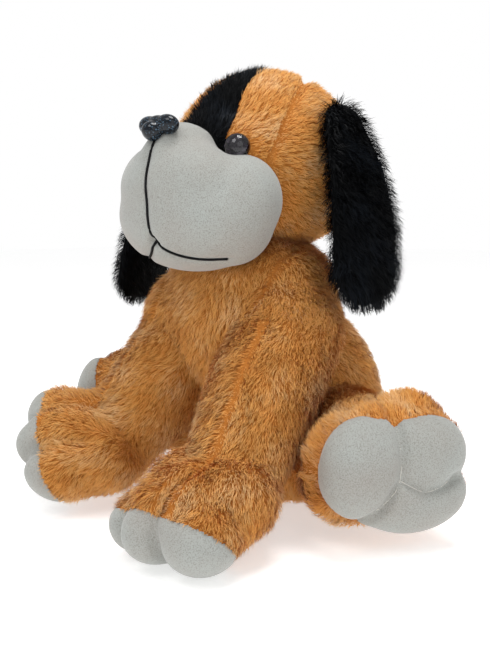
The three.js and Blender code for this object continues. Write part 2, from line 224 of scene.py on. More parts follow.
def foot_axes(leg, name):
    """The sideways, forwards and up directions of a foot, as the columns of a matrix."""
    turn, tip, roll = (math.radians(leg[angle][name]) for angle in ("turn", "tip", "roll"))
    sideways = np.array([math.cos(turn), math.sin(turn), 0.0])
    level = np.array([math.sin(turn), -math.cos(turn), 0.0])
    forwards = level * math.cos(tip) + UP * math.sin(tip)
    up = UP * math.cos(tip) - level * math.sin(tip)
    outer = sideways * math.cos(roll) + up * math.sin(roll)
    up = up * math.cos(roll) - sideways * math.sin(roll)
    return np.column_stack([mirrored(axis, SIDES[name]) for axis in (outer, forwards, up)])


# ---- Skins -----------------------------------------------------------------------------------------
def mesh_object(name, mesh):
    made = bpy.data.objects.new(name, mesh)
    bpy.context.scene.collection.objects.link(made)
    return made


def bake_modifiers(made):
    """Turns what an object's modifiers make of it into its mesh."""
    bpy.context.view_layer.update()
    shaped = made.evaluated_get(bpy.context.evaluated_depsgraph_get())
    mesh = bpy.data.meshes.new_from_object(shaped)
    old = made.data
    made.modifiers.clear()
    made.data = mesh
    bpy.data.meshes.remove(old)


def wrap(name, forms, voxel, smoothing):
    """One closed skin round a group of balls."""
    build = bmesh.new()
    for middle, shape in forms:
        place = Matrix(shape * MM).to_4x4()
        place.translation = middle * MM
        bmesh.ops.create_icosphere(build, subdivisions=4, radius=1, matrix=place)
    mesh = bpy.data.meshes.new(name)
    build.to_mesh(mesh)
    build.free()
    skin = mesh_object(name, mesh)
    remesh = skin.modifiers.new("Remesh", "REMESH")
    remesh.mode = "VOXEL"
    remesh.voxel_size = voxel * MM
    smooth = skin.modifiers.new("Smooth", "SMOOTH")
    smooth.factor = 0.5
    smooth.iterations = smoothing
    bake_modifiers(skin)
    return skin


def points_of(skin):
    flat = np.empty(len(skin.data.vertices) * 3)
    skin.data.vertices.foreach_get("co", flat)
    return flat.reshape(-1, 3) / MM


def normals_of(skin):
    flat = np.empty(len(skin.data.vertices) * 3)
    skin.data.vertex_normals.foreach_get("vector", flat)
    return flat.reshape(-1, 3)


def set_points(skin, points):
    skin.data.vertices.foreach_set("co", (points * MM).ravel())
    skin.data.update()


def stuff(skin, cap, held=None, pressure=4.0):
    """Fills a skin by cloth simulation: pressure inside, while the points in "held" stay on their seam.

    No point moves further than "cap".
    """
    group = skin.vertex_groups.new(name="held")
    if held is not None:
        group.add([int(i) for i in np.nonzero(held)[0]], 1.0, "REPLACE")
    before = points_of(skin)
    modifier = skin.modifiers.new("Cloth", "CLOTH")
    settings = modifier.settings
    settings.quality = 4
    settings.mass = 0.2
    settings.use_pressure = True
    settings.uniform_pressure_force = pressure
    settings.effector_weights.gravity = 0
    settings.vertex_group_mass = "held"
    settings.pin_stiffness = 1
    scene = bpy.context.scene
    for step in range(1, 21):
        scene.frame_set(step)
    bake_modifiers(skin)
    scene.frame_set(1)
    moved = points_of(skin) - before
    distance = np.linalg.norm(moved, axis=1, keepdims=True)
    moved *= np.minimum(1, cap / np.maximum(distance, 1e-6))
    set_points(skin, before + moved)
    skin.vertex_groups.clear()


def refine(skin):
    subdivide = skin.modifiers.new("Subdivision", "SUBSURF")
    subdivide.levels = 1
    bake_modifiers(skin)


def press(skin, distance, depth, reach, where=None):
    """Draws a skin in along a seam: "distance" says how far each point is from it."""
    points = points_of(skin)
    fade = depth * np.exp(-((distance / reach) ** 2))
    if where is not None:
        fade = fade * where
    set_points(skin, points - normals_of(skin) * fade[:, None])


def rest_on(skin, floor):
    points = points_of(skin)
    points[:, 2] = np.maximum(points[:, 2], floor)
    set_points(skin, points)


def to_plane(points, at, normal):
    """How far points are ahead of a plane."""
    normal = np.array(normal, float)
    return (points - at) @ (normal / np.linalg.norm(normal))


def to_line(points, line):
    """How far points are from a broken line."""
    best = np.full(len(points), np.inf)
    for a, b in zip(line[:-1], line[1:]):
        run = b - a
        t = np.clip((points - a) @ run / (run @ run), 0, 1)
        best = np.minimum(best, np.linalg.norm(points - a - t[:, None] * run, axis=1))
    return best


def ramp(values, start, end):
    """0 before start, 1 after end, smooth between."""
    t = np.clip((values - start) / (end - start), 0, 1)
    return t * t * (3 - 2 * t)


def tree_of(skin):
    return BVHTree.FromObject(skin, bpy.context.evaluated_depsgraph_get())


def depth_in(points, skin_tree):
    """How deep points lie inside a closed skin, less than nothing outside it."""
    depths = np.empty(len(points))
    for i, point in enumerate(points * MM):
        near, normal, _, distance = skin_tree.find_nearest(Vector(point))
        inside = (Vector(point) - near).dot(normal) < 0
        depths[i] = (distance if inside else -distance) / MM
    return depths


def panel(name, skin, keep):
    """A fabric panel laid over the part of a skin where keep() holds."""
    laid = mesh_object(name, skin.data.copy())
    laid.data.materials.clear()
    build = bmesh.new()
    build.from_mesh(laid.data)
    middles = np.array([face.calc_center_median() for face in build.faces]) / MM
    kept = keep(middles)
    bmesh.ops.delete(build, geom=[f for f, k in zip(build.faces, kept) if not k], context="FACES")
    build.to_mesh(laid.data)
    build.free()
    set_points(laid, points_of(laid) + normals_of(laid) * PANEL_LIFT)
    solidify = laid.modifiers.new("Solidify", "SOLIDIFY")
    solidify.thickness = PANEL * MM
    solidify.offset = -1
    bake_modifiers(laid)
    return laid


def tubes(name, lines, half, sides=8):
    """Round threads along broken lines, all in one piece, each closed by a point at both ends."""
    points, faces = [], []
    for line in lines:
        headings = np.gradient(line, axis=0)
        headings /= np.linalg.norm(headings, axis=1, keepdims=True)
        first = len(points)
        points.append(line[0] - headings[0] * half)
        for point, heading in zip(line, headings):
            over = np.cross(heading, UP if abs(heading[2]) < 0.9 else [1.0, 0.0, 0.0])
            over /= np.linalg.norm(over)
            side = np.cross(heading, over)
            for angle in np.arange(sides) * 2 * math.pi / sides:
                points.append(point + (over * math.cos(angle) + side * math.sin(angle)) * half)
        points.append(line[-1] + headings[-1] * half)
        ring = lambda k, i: first + 1 + k * sides + i % sides
        for i in range(sides):
            faces.append((first, ring(0, i + 1), ring(0, i)))
            faces.append((len(points) - 1, ring(len(line) - 1, i), ring(len(line) - 1, i + 1)))
            for k in range(len(line) - 1):
                faces.append((ring(k, i), ring(k, i + 1), ring(k + 1, i + 1), ring(k + 1, i)))
    mesh = bpy.data.meshes.new(name)
    mesh.from_pydata([tuple(point * MM) for point in points], [], faces)
    return mesh_object(name, mesh)


def wall(tree, inside, direction):
    """Where a line from inside a skin comes out, and the normal there."""
    place, normal, _, _ = tree.ray_cast(Vector(inside) * MM, Vector(direction).normalized())
    if place is None:
        raise ValueError(f"no wall ahead of {inside}")
    normal = np.array(normal)
    if normal @ np.array(direction) < 0:
        normal = -normal
    return np.array(place) / MM, normal


def laid_on(tree, insides, directions, lift):
    """A line laid over a skin, lifted off it, through the ways out from points inside."""
    found = [wall(tree, inside, direction) for inside, direction in zip(insides, directions)]
    return np.array([place + normal * lift for place, normal in found])


def stitches(name, line):
    """Short stitches, one after another along a line."""
    steps = np.linalg.norm(np.diff(line, axis=0), axis=1)
    run = np.concatenate([[0], np.cumsum(steps)])
    made = []
    for start in np.arange(1, run[-1] - STITCH["length"], STITCH["step"]):
        at = start + np.linspace(0, STITCH["length"], 4)
        made.append(np.column_stack([np.interp(at, run, line[:, k]) for k in range(3)]))
    return tubes(name, made, STITCH["half"], sides=6)


# ---- Pile ------------------------------------------------------------------------------------------
def sample(skin, density, random):
    """Random places on a skin, with the smooth normal at each."""
    mesh = skin.data
    mesh.calc_loop_triangles()
    corners = np.empty(len(mesh.loop_triangles) * 3, np.int64)
    mesh.loop_triangles.foreach_get("vertices", corners)
    corners = corners.reshape(-1, 3)
    points, normals = points_of(skin), normals_of(skin)
    a, b, c = (points[corners[:, k]] for k in range(3))
    area = 0.5 * np.linalg.norm(np.cross(b - a, c - a), axis=1)
    count = int(area.sum() * density)
    chosen = random.choice(len(corners), count, p=area / area.sum())
    u, v = random.random(count), random.random(count)
    over = u + v > 1
    u[over], v[over] = 1 - u[over], 1 - v[over]
    weights = np.column_stack([1 - u - v, u, v])
    places = np.einsum("nk,nkd->nd", weights, points[corners[chosen]])
    facing = np.einsum("nk,nkd->nd", weights, normals[corners[chosen]])
    return places, facing / np.linalg.norm(facing, axis=1, keepdims=True)


def halves(points):
    """0 on the left side of the toy and 1 on the right, to keep each piece of pile a workable size."""
    return (points[:, 0] < 0).astype(int)


def unit(vectors):
    return vectors / np.maximum(np.linalg.norm(vectors, axis=1, keepdims=True), 1e-9)


def waves(points, scale, random, count=7):
    """Smooth noise from -1 to 1 over space: a few plane waves of about one wavelength."""
    total = np.zeros(len(points))
    for _ in range(count):
        direction = random.normal(size=3)
        direction *= 2 * math.pi / (scale * np.linalg.norm(direction))
        total += np.sin(points @ direction + random.random() * 2 * math.pi)
    return np.clip(total / count * 1.8, -1, 1)


def clumped(places, spacing, random):
    """For each place, the nearest of the tuft middles that lie about "spacing" apart."""
    cells = np.unique(np.round(places / spacing).astype(np.int64), axis=0)
    middles = (cells + random.uniform(-0.45, 0.45, cells.shape)) * spacing
    tree = KDTree(len(middles))
    for i, middle in enumerate(middles):
        tree.insert(middle, i)
    tree.balance()
    nearest = np.array([tree.find(place)[1] for place in places])
    return middles[nearest], nearest


def grow_pile(name, skin, pile, comb, seed, keep=None, length=None, split=None, seam=None):
    """Grows combed pile on a skin and returns its pieces.

    comb(points) is the way the pile lies, keep(points) says where it grows, and length(points) scales it.
    seam(points) gives how far points are from a seam, with a sign, and the direction across it.
    """
    random = np.random.default_rng(seed)
    density = pile["density"] * 1
    places, facing = sample(skin, density, random)
    if keep is not None:
        kept = keep(places)
        places, facing = places[kept], facing[kept]
    count = len(places)
    reach = pile["length"] * (0.75 + 0.4 * random.random(count))
    if length is not None:
        reach = reach * length(places)
    lie = comb(places)
    lie = lie + 0.35 * np.column_stack([waves(places, 22, random) for _ in range(3)])
    lie = unit(lie)
    if seam is not None:
        signed, across_seam = seam(places)
        parted = 1.3 * np.sign(signed) * np.exp(-((signed / PARTING) ** 2))
        lie = lie + parted[:, None] * across_seam
        reach = reach * (0.2 + 0.8 * ramp(np.abs(signed), 0.4, 4.5))
    lie = unit(lie - np.sum(lie * facing, axis=1, keepdims=True) * facing)
    lean = np.radians(pile["lean"] + 12 * waves(places, 15, random) + random.normal(0, 9, count))
    spread = 0.15 * random.normal(size=(count, 3))
    first = unit(np.cos(lean * 0.7)[:, None] * facing + np.sin(lean * 0.7)[:, None] * lie + spread)
    second = unit(np.cos(lean * 1.2)[:, None] * facing + np.sin(lean * 1.2)[:, None] * lie + spread * 1.3)
    middle = places + first * (reach * 0.5)[:, None]
    tip = middle + second * (reach * 0.5)[:, None]
    # Strands of one tuft draw together towards their tips.
    centres, tuft = clumped(places, 4.2, random)
    tuft_lift = random.uniform(-1, 1, tuft.max() + 1)[tuft]
    towards = centres - places
    towards -= np.sum(towards * facing, axis=1, keepdims=True) * facing
    middle += towards * 0.2
    tip += towards * 0.4 + facing * (tuft_lift * 0.6)[:, None]
    across = unit(np.cross(second, facing))
    roll = random.uniform(-0.9, 0.9, count)[:, None]
    wide = (across * np.cos(roll) + facing * np.sin(roll)) * (pile["width"] / 2)
    waist = wide * 0.85
    corners = np.stack([places - wide, places + wide, middle - waist, middle + waist, tip], axis=1)
    corners[..., 2] = np.maximum(corners[..., 2], FLOOR_CLEAR)
    soft = unit(facing + 0.18 * random.normal(size=(count, 3)) + 0.35 * lie * tuft_lift[:, None])
    # A strand's shade picks its colour. The broad waves are painted light and shade: patches where the lying
    # pile catches more or less light. Raised tufts get a painted highlight. The small random part is the
    # pile's own tone.
    shade = 0.5 + 0.22 * waves(places, 30, random) + 0.08 * tuft_lift + 0.06 * random.normal(size=count)
    groups = split(places) if split is not None else np.zeros(count, int)
    pieces = []
    for group in np.unique(groups):
        chosen = groups == group
        label = name if split is None else f"{name}_{'ab'[group]}"
        pieces.append(ribbons(label, corners[chosen], soft[chosen], np.clip(shade[chosen], 0.02, 0.98)))
    return pieces


def ribbons(name, corners, normals, shade):
    """Strands as ribbons of one quad and one triangle; the UV map holds shade and root-to-tip."""
    count = len(corners)
    mesh = bpy.data.meshes.new(name)
    mesh.vertices.add(count * 5)
    mesh.vertices.foreach_set("co", (corners * MM).ravel())
    first = np.arange(count)[:, None] * 5
    loops = (first + np.array([0, 1, 3, 2, 2, 3, 4])).ravel()
    starts = (np.arange(count)[:, None] * 7 + np.array([0, 4])).ravel()
    mesh.loops.add(len(loops))
    mesh.loops.foreach_set("vertex_index", loops)
    mesh.polygons.add(count * 2)
    mesh.polygons.foreach_set("loop_start", starts)
    mesh.polygons.foreach_set("use_smooth", np.ones(count * 2, bool))
    mesh.update(calc_edges=True)
    rise = np.array([0.02, 0.02, 0.5, 0.5, 0.5, 0.5, 0.98])
    layer = mesh.uv_layers.new(name="OFBake")
    layer.data.foreach_set("uv", np.stack([np.repeat(shade, 7), np.tile(rise, count)], axis=1).ravel())
    mesh.normals_split_custom_set_from_vertices(np.repeat(normals, 5, axis=0))
    return mesh_object(name, mesh)


# ---- Materials -------------------------------------------------------------------------------------
class Nodes:
    """A material with a Principled shader, and short calls that add and join its nodes."""

    def __init__(self, name, **values):
        self.material = bpy.data.materials.new(name)
        self.material.use_nodes = True
        self.tree = self.material.node_tree
        self.shader = self.tree.nodes["Principled BSDF"]
        for socket, value in values.items():
            self.shader.inputs[socket.replace("_", " ")].default_value = value

    def add(self, kind, inputs=None, **settings):
        node = self.tree.nodes.new(kind)
        for key, value in settings.items():
            setattr(node, key, value)
        for key, value in (inputs or {}).items():
            if isinstance(value, bpy.types.NodeSocket):
                self.tree.links.new(value, node.inputs[key])
            else:
                node.inputs[key].default_value = value
        return node

    def place(self):
        return self.add("ShaderNodeTexCoord").outputs["Object"]

    def noise(self, scale, detail):
        inputs = {"Vector": self.place(), "Scale": scale, "Detail": detail}
        return self.add("ShaderNodeTexNoise", inputs).outputs["Fac"]

    def ramp(self, value, *stops):
        node = self.add("ShaderNodeValToRGB", {"Fac": value})
        while len(node.color_ramp.elements) < len(stops):
            node.color_ramp.elements.new(0.5)
        for element, (position, colour) in zip(node.color_ramp.elements, stops):
            element.position = position
            element.color = (*colour, 1)
        return node.outputs["Color"]

    def mix(self, factor, a, b, blend="MIX"):
        node = self.add("ShaderNodeMix", data_type="RGBA", blend_type=blend)
        for socket, value in ((node.inputs[0], factor), (node.inputs[6], a), (node.inputs[7], b)):
            if isinstance(value, bpy.types.NodeSocket):
                self.tree.links.new(value, socket)
            else:
                socket.default_value = value if isinstance(value, float) else (*value, 1)
        return node.outputs[2]

    def bump(self, height, strength, distance):
        node = self.add("ShaderNodeBump", {"Height": height, "Strength": strength, "Distance": distance})
        self.set("Normal", node.outputs["Normal"])

    def set(self, socket, value):
        self.tree.links.new(value, self.shader.inputs[socket])


def srgb(red, green, blue):
    """A colour given as 0 to 255 on a screen, as the linear light that shaders use."""
    parts = [channel / 255 for channel in (red, green, blue)]
    return tuple(p / 12.92 if p <= 0.04045 else ((p + 0.055) / 1.055) ** 2.4 for p in parts)


def pile_material(name, root, dark, middle, light, roughness, sheen, gloss):
    """Strands: the UV's first value picks the shade, which carries broad patches of painted light and shade,
    and its second darkens the root as painted shade deep in the pile.
    """
    nodes = Nodes(name, Roughness=roughness, Sheen_Weight=sheen, Sheen_Roughness=0.5)
    nodes.shader.inputs["Specular IOR Level"].default_value = gloss
    uv = nodes.add("ShaderNodeUVMap", uv_map="OFBake").outputs["UV"]
    parts = nodes.add("ShaderNodeSeparateXYZ", {"Vector": uv}).outputs
    shade = nodes.ramp(parts["X"], (0.15, dark), (0.5, middle), (0.9, light))
    # rise darkens each strand towards its root: painted shade deep in the pile, where the strands shade each
    # other.
    rise = nodes.ramp(parts["Y"], (0.0, (0, 0, 0)), (0.75, (1, 1, 1)))
    nodes.set("Base Color", nodes.mix(rise, root, shade))
    return nodes.material


def backing_material(name, dark, light):
    """The knitted backing seen between the strands."""
    nodes = Nodes(name, Roughness=0.95)
    nodes.shader.inputs["Specular IOR Level"].default_value = 0.1
    nodes.set("Base Color", nodes.mix(nodes.noise(60, 4.0), dark, light))
    nodes.bump(nodes.noise(900, 2.0), 0.5, 0.0006)
    return nodes.material


def velour_material():
    """Short cream velour with broad patches and a fine grain."""
    nodes = Nodes("cream_velour", Roughness=0.75, Sheen_Weight=0.35, Sheen_Roughness=0.45)
    nodes.shader.inputs["Specular IOR Level"].default_value = 0.3
    patches = nodes.noise(26, 3.0)
    base = nodes.ramp(patches, (0.3, srgb(160, 158, 152)), (0.7, srgb(165, 169, 165)))
    grain = nodes.noise(1500, 3.0)
    specks = nodes.ramp(grain, (0.3, srgb(214, 210, 206)), (0.55, srgb(255, 255, 255)))
    nodes.set("Base Color", nodes.mix(1.0, base, specks, "MULTIPLY"))
    nodes.bump(grain, 0.5, 0.0005)
    return nodes.material


def glitter_material(name, dark, flake_glint, roughness=0.12):
    """Moulded plastic with fine glitter under a clear gloss; the glitter flakes are real, and their lighter
    colour is a painted glint.
    """
    nodes = Nodes(name, Roughness=roughness, Coat_Weight=0.35, Coat_Roughness=0.04)
    nodes.shader.inputs["Specular IOR Level"].default_value = 0.15
    cells = nodes.add("ShaderNodeTexVoronoi", {"Vector": nodes.place(), "Scale": 1500})
    # sparkle marks the glitter flakes; their lighter colour is a painted glint.
    sparkle = nodes.ramp(cells.outputs["Color"], (0.72, (0, 0, 0)), (0.88, (1, 1, 1)))
    nodes.set("Base Color", nodes.mix(sparkle, dark, flake_glint))
    return nodes.material


def cord_material(name, dark, light):
    """Twisted sewing cord."""
    nodes = Nodes(name, Roughness=0.7)
    nodes.shader.inputs["Specular IOR Level"].default_value = 0.2
    twist = nodes.add("ShaderNodeTexWave", {"Vector": nodes.place(), "Scale": 700, "Distortion": 2.0})
    nodes.set("Base Color", nodes.mix(twist.outputs["Fac"], dark, light))
    nodes.bump(twist.outputs["Fac"], 0.5, 0.0004)
    return nodes.material


def plastic_material(name, colour, roughness):
    """Moulded plastic with faint mottling."""
    nodes = Nodes(name, Roughness=roughness)
    nodes.set("Base Color", nodes.mix(nodes.noise(200, 2.0), colour, tuple(c * 1.25 for c in colour)))
    nodes.bump(nodes.noise(500, 2.0), 0.1, 0.0003)
    return nodes.material


def dome_material():
    """Smoky clear moulded plastic with fine scratches."""
    nodes = Nodes("clear_dome", Roughness=0.02, Transmission_Weight=1.0, IOR=1.46)
    nodes.shader.inputs["Base Color"].default_value = (0.6, 0.55, 0.64, 1)
    nodes.bump(nodes.noise(400, 2.0), 0.03, 0.0002)
    return nodes.material


# Pile colours, in ORANGE and BLACK alike. root is the darkest: painted shade at the foot of the strands. The
# lighter colours come up mostly in the broad patches of painted light and shade that grow_pile sets.
ORANGE = {
    "root": srgb(216, 138, 60),
    "dark": srgb(220, 150, 70),
    "middle": srgb(231, 171, 94),
    "light": srgb(246, 208, 154),
}
BLACK = {"root": srgb(2, 2, 3), "dark": srgb(4, 5, 6), "middle": srgb(8, 10, 13), "light": srgb(24, 30, 38)}
MATERIALS = {
    "orange_pile": pile_material("orange_pile", **ORANGE, roughness=0.85, sheen=0.12, gloss=0.2),
    "black_pile": pile_material("black_pile", **BLACK, roughness=0.4, sheen=0.0, gloss=0.07),
    # The orange backing is darker than the pile: partly the knit's own colour, partly painted shade where it
    # shows between the strands.
    "orange_backing": backing_material("orange_backing", srgb(166, 100, 40), srgb(184, 118, 54)),
    "black_backing": backing_material("black_backing", srgb(3, 3, 4), srgb(6, 7, 8)),
    "velour": velour_material(),
    "black_cord": cord_material("black_cord", srgb(4, 4, 5), srgb(16, 16, 19)),
    "cream_thread": cord_material("cream_thread", srgb(190, 184, 174), srgb(226, 222, 214)),
    "nose": glitter_material("nose_glitter", srgb(9, 16, 24), srgb(78, 100, 118)),
    "iris": glitter_material("iris_glitter", srgb(12, 10, 16), srgb(72, 58, 76), 0.3),
    "pupil": plastic_material("pupil", srgb(6, 6, 8), 0.25),
    "dome": dome_material(),
    "seam_thread": cord_material("seam_thread", srgb(120, 58, 20), srgb(168, 92, 42)),
    "washer": plastic_material("washer", srgb(210, 208, 200), 0.5),
}


def dress(piece, material, body=None, blend=None, replaces=()):
    """Gives a piece its material and slot, parents it to its body or, when it has a blend, bakes its place
    into its mesh, and hides the CAD nodes that it stands for.
    """
    piece.data.materials.clear()
    piece.data.materials.append(MATERIALS[material])
    for face in piece.data.polygons:
        face.use_smooth = True
    if blend is not None:
        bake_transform(piece)
    else:
        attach(piece, body)
    if replaces:
        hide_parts(*replaces)


# ---- Head ------------------------------------------------------------------------------------------
HEAD = PIVOTS["head_nod"]
CHEST_HALF_WIDTH = 44
NOSE_TIP = HEAD + [0, -106, -10]
BLAZE = {"at": HEAD + [0, -24, 45], "tilt": 40, "along": [-62, -25, 5, 37], "half": [25, 19, 13, 3]}
# The dart runs from the crown to the eye; its line is given from the joint of the head.
DART = {"at": HEAD + [48, -33, 25], "normal": (0.727, 0.576, -0.361), "line": ((45, -16, 49), (48, -65, -3))}


def in_blaze(points, margin=0.0):
    """Whether points of the head are on the black panel over the forehead."""
    local = (points - BLAZE["at"]) @ np.array(Matrix.Rotation(math.radians(BLAZE["tilt"]), 3, "X"))
    half = np.interp(local[:, 1], BLAZE["along"], BLAZE["half"]) + margin
    ends = (local[:, 1] > BLAZE["along"][0]) & (local[:, 1] < BLAZE["along"][-1])
    return (np.abs(local[:, 0]) < half) & ends & (local[:, 2] > -45)


def dart_seam(points):
    """How far points of the head are ahead of the slanting dart on their own side, and the way across it."""
    side = np.where(points[:, 0] < 0, -1.0, 1.0)
    normal = np.array(DART["normal"]) / np.linalg.norm(DART["normal"])
    folded = np.column_stack([np.abs(points[:, 0]), points[:, 1], points[:, 2]])
    distance = to_plane(folded, DART["at"], normal)
    across = normal * np.column_stack([side, np.ones((len(points), 2))])
    return np.where(points[:, 2] > HEAD[2] - 8, distance, FAR), across


def build_muzzle():
    muzzle = wrap("muzzle_velour", balls(MUZZLE, HEAD, grow=-1.5), FINE_VOXEL, 26)
    stuff(muzzle, cap=3.0)
    refine(muzzle)
    tree = tree_of(muzzle)
    turns = np.radians(np.linspace(CORD_TURN[0], CORD_TURN[1], 26))
    ways = {"middle": [(0, -math.cos(turn), math.sin(turn)) for turn in turns]}
    insides = {"middle": [HEAD + JAW] * len(turns)}
    for name, side in SIDES.items():
        ways[name] = [mirrored(way, side) for way in along(MOUTH, 18)[0]]
        insides[name] = [HEAD + JAW] * len(ways[name])
    points = points_of(muzzle)
    for name in ways:
        line = laid_on(tree, insides[name], ways[name], 0)
        press(muzzle, to_line(points, line), 1.6, 3.2)
    tree = tree_of(muzzle)
    cords = {name: laid_on(tree, insides[name], ways[name], CORD * 0.4) for name in ways}
    for name, path in cords.items():
        cord = tubes(f"mouth_stitch_{name}", [path], CORD)
        dress(cord, "black_cord", "head", replaces=(f"mouth_cord_{name}",))
    dress(muzzle, "velour", "head", replaces=("muzzle_left", "muzzle_right", "chin_panel"))
    return muzzle, tree


def build_nose(tree):
    """Three rounded lobes across the tip of the muzzle, in glossy glitter plastic."""
    place, normal = wall(tree, HEAD + NOSE_SEAT["inside"], NOSE_SEAT["way"])
    up = np.cross([1.0, 0.0, 0.0], -normal)
    axes = np.column_stack([[1.0, 0.0, 0.0], normal, up])
    forms = [(place + axes @ (np.array(at) + [0, 3.0, 0]), axes @ np.diag(radii)) for at, radii in NOSE]
    nose = wrap("moulded_nose", forms, 0.7, 8)
    dress(nose, "nose", "head", replaces=("nose",))


def build_eye(tree, name, side):
    """A clear dome over a glittering disc with a black pupil."""
    across, height = EYE["at"]
    place, normal = wall(tree, HEAD + [across * side, -30, height], (0, -1, 0))
    place = place + normal * PILE_ROOM
    turn = Vector((0, 0, 1)).rotation_difference(Vector(normal)).to_matrix()

    def lens(piece_name, radius, height, foot, lift):
        """A shallow dome on a flat back, turned to look out of the head."""
        build = bmesh.new()
        bmesh.ops.create_uvsphere(build, u_segments=48, v_segments=24, radius=1)
        for vertex in build.verts:
            z = max(vertex.co.z, 0) * height - (foot if vertex.co.z < 0 else 0)
            flat = Vector((vertex.co.x * radius, vertex.co.y * radius, z + lift))
            vertex.co = (turn @ flat + Vector(place)) * MM
        mesh = bpy.data.meshes.new(piece_name)
        build.to_mesh(mesh)
        build.free()
        return mesh_object(piece_name, mesh)

    radius = EYE["radius"]
    disc = lens(f"eye_disc_{name}", radius, 1.2, 1.2, 0.6)
    dress(disc, "iris", "head", replaces=(f"eye_back_{name}",))
    pupil = lens(f"pupil_{name}", EYE["pupil"], 0.5, 0.2, 1.75)
    dress(pupil, "pupil", "head")
    dome = lens(f"eye_lens_{name}", radius * 1.02, 6.6, 0.3, 0.9)
    dress(dome, "dome", "head", replaces=(f"eye_dome_{name}",))


def build_head():
    muzzle, muzzle_tree = build_muzzle()
    build_nose(muzzle_tree)
    skin = wrap("head_skin", balls(SKULL, HEAD, grow=-PILE_ROOM - 2), SKIN_VOXEL, 8)
    stuff(skin, cap=3.0)
    refine(skin)
    tree = tree_of(skin)
    eyes = []
    for name, side in SIDES.items():
        build_eye(tree, name, side)
        eyes.append(wall(tree, HEAD + [EYE["at"][0] * side, -30, EYE["at"][1]], (0, -1, 0))[0])
    press(skin, np.abs(dart_seam(points_of(skin))[0]), 1.8, 3.0)
    heads = ["face_left", "face_right", "head_side_left", "head_side_right", "head_stuffing"]
    dress(skin, "orange_backing", "head", replaces=heads)
    blaze = panel("forehead_blaze_backing", skin, in_blaze)
    dress(blaze, "black_backing", "head", replaces=("forehead_blaze",))
    tree = tree_of(skin)
    top, foot = DART["line"]
    for name, side in SIDES.items():
        normal = unit(mirrored(DART["normal"], side)[None, :])[0]
        middle = HEAD - normal * ((HEAD - mirrored(DART["at"], side)) @ normal)
        start, end = HEAD + mirrored(top, side), HEAD + mirrored(foot, side)
        ways = [start * (1 - t) + end * t - middle for t in np.linspace(0, 1, 20)]
        line = laid_on(tree, [middle] * len(ways), ways, 0.2)
        dress(stitches(f"dart_stitches_{name}", line), "seam_thread", "head")

    def away(points):
        """Pile on the face lies away from the nose."""
        return points - NOSE_TIP + [0, 0, -25]

    def clear_of_parts(points):
        clear = depth_in(points, muzzle_tree) < -0.5
        for eye in eyes:
            clear &= np.linalg.norm(points - eye, axis=1) > EYE["radius"] - 0.5
        return clear

    def on_face(points):
        return clear_of_parts(points) & ~in_blaze(points, 0.5)

    def on_blaze(points):
        return clear_of_parts(points) & in_blaze(points)

    def face_length(points):
        """The pile is clipped short against the muzzle and round the eyes."""
        near_muzzle = 0.45 + 0.55 * ramp(-depth_in(points, muzzle_tree), 0, 12)
        near_eye = np.min([np.linalg.norm(points - eye, axis=1) for eye in eyes], axis=0)
        return 0.82 * near_muzzle * (0.5 + 0.5 * ramp(near_eye, EYE["radius"], EYE["radius"] + 8))

    for pile in grow_pile("head_pile", skin, ORANGE_PILE, away, 11, on_face, face_length, halves, dart_seam):
        dress(pile, "orange_pile", "head")
    for pile in grow_pile("blaze_pile", skin, BLACK_PILE, away, 12, on_blaze, lambda points: 0.75):
        dress(pile, "black_pile", "head")


def build_ear(name, side):
    pivot = PIVOTS[f"ear_{name}_lift"]
    path = [mirrored(point, side) for point in EAR["path"][name]]
    forms = chain(path, EAR["widths"], pivot, half=EAR_HALF, turn=EAR_TURN * side, count=21)
    skin = wrap(f"ear_{name}_skin", forms, FINE_VOXEL, 4)
    stuff(skin, cap=2.0, pressure=1.0)
    refine(skin)
    start, end = pivot * MM, (pivot + [10 * side, 0, -26]) * MM
    blend = ("head", f"ear_{name}", start, end)
    nodes = (f"ear_outer_{name}", f"ear_inner_{name}")
    down = lambda points: np.tile([0.15 * side, 0, -1.0], (len(points), 1))
    for pile in grow_pile(f"ear_{name}_pile", skin, BLACK_PILE, down, 20 + side):
        dress(pile, "black_pile", blend=blend)
    dress(skin, "black_backing", blend=blend, replaces=nodes)


# ---- Torso, legs and tail --------------------------------------------------------------------------
def torso_seam(points):
    """The seams of the torso: one down each side of the chest and one down the middle of the back."""
    side = np.where(points[:, 0] < 0, -1.0, 1.0)
    front = points[:, 1] < HEAD[1]
    distance = np.where(front, np.abs(points[:, 0]) - CHEST_HALF_WIDTH, np.abs(points[:, 0]))
    return distance, np.column_stack([side, np.zeros((len(points), 2))])


def build_torso():
    skin = wrap("torso_skin", balls(TORSO, HEAD, grow=-PILE_ROOM - 2), SKIN_VOXEL + 0.5, 10)
    stuff(skin, cap=3.0)
    refine(skin)
    press(skin, np.abs(torso_seam(points_of(skin))[0]), 1.5, 3.0)
    rest_on(skin, 1.0)
    nodes = ("body_left", "body_right", "chest_panel", "seat_panel", "body_stuffing", "neck_stuffing")

    def down(points):
        below = np.full(len(points), -1.0)
        return np.column_stack([points[:, 0] * 0.004, (points[:, 1] - 20) * 0.002, below])

    above_floor = lambda points: points[:, 2] > 4
    for pile in grow_pile("torso_pile", skin, ORANGE_PILE, down, 31, above_floor, None, halves, torso_seam):
        dress(pile, "orange_pile", "torso")
    dress(skin, "orange_backing", "torso", replaces=nodes)
    return skin


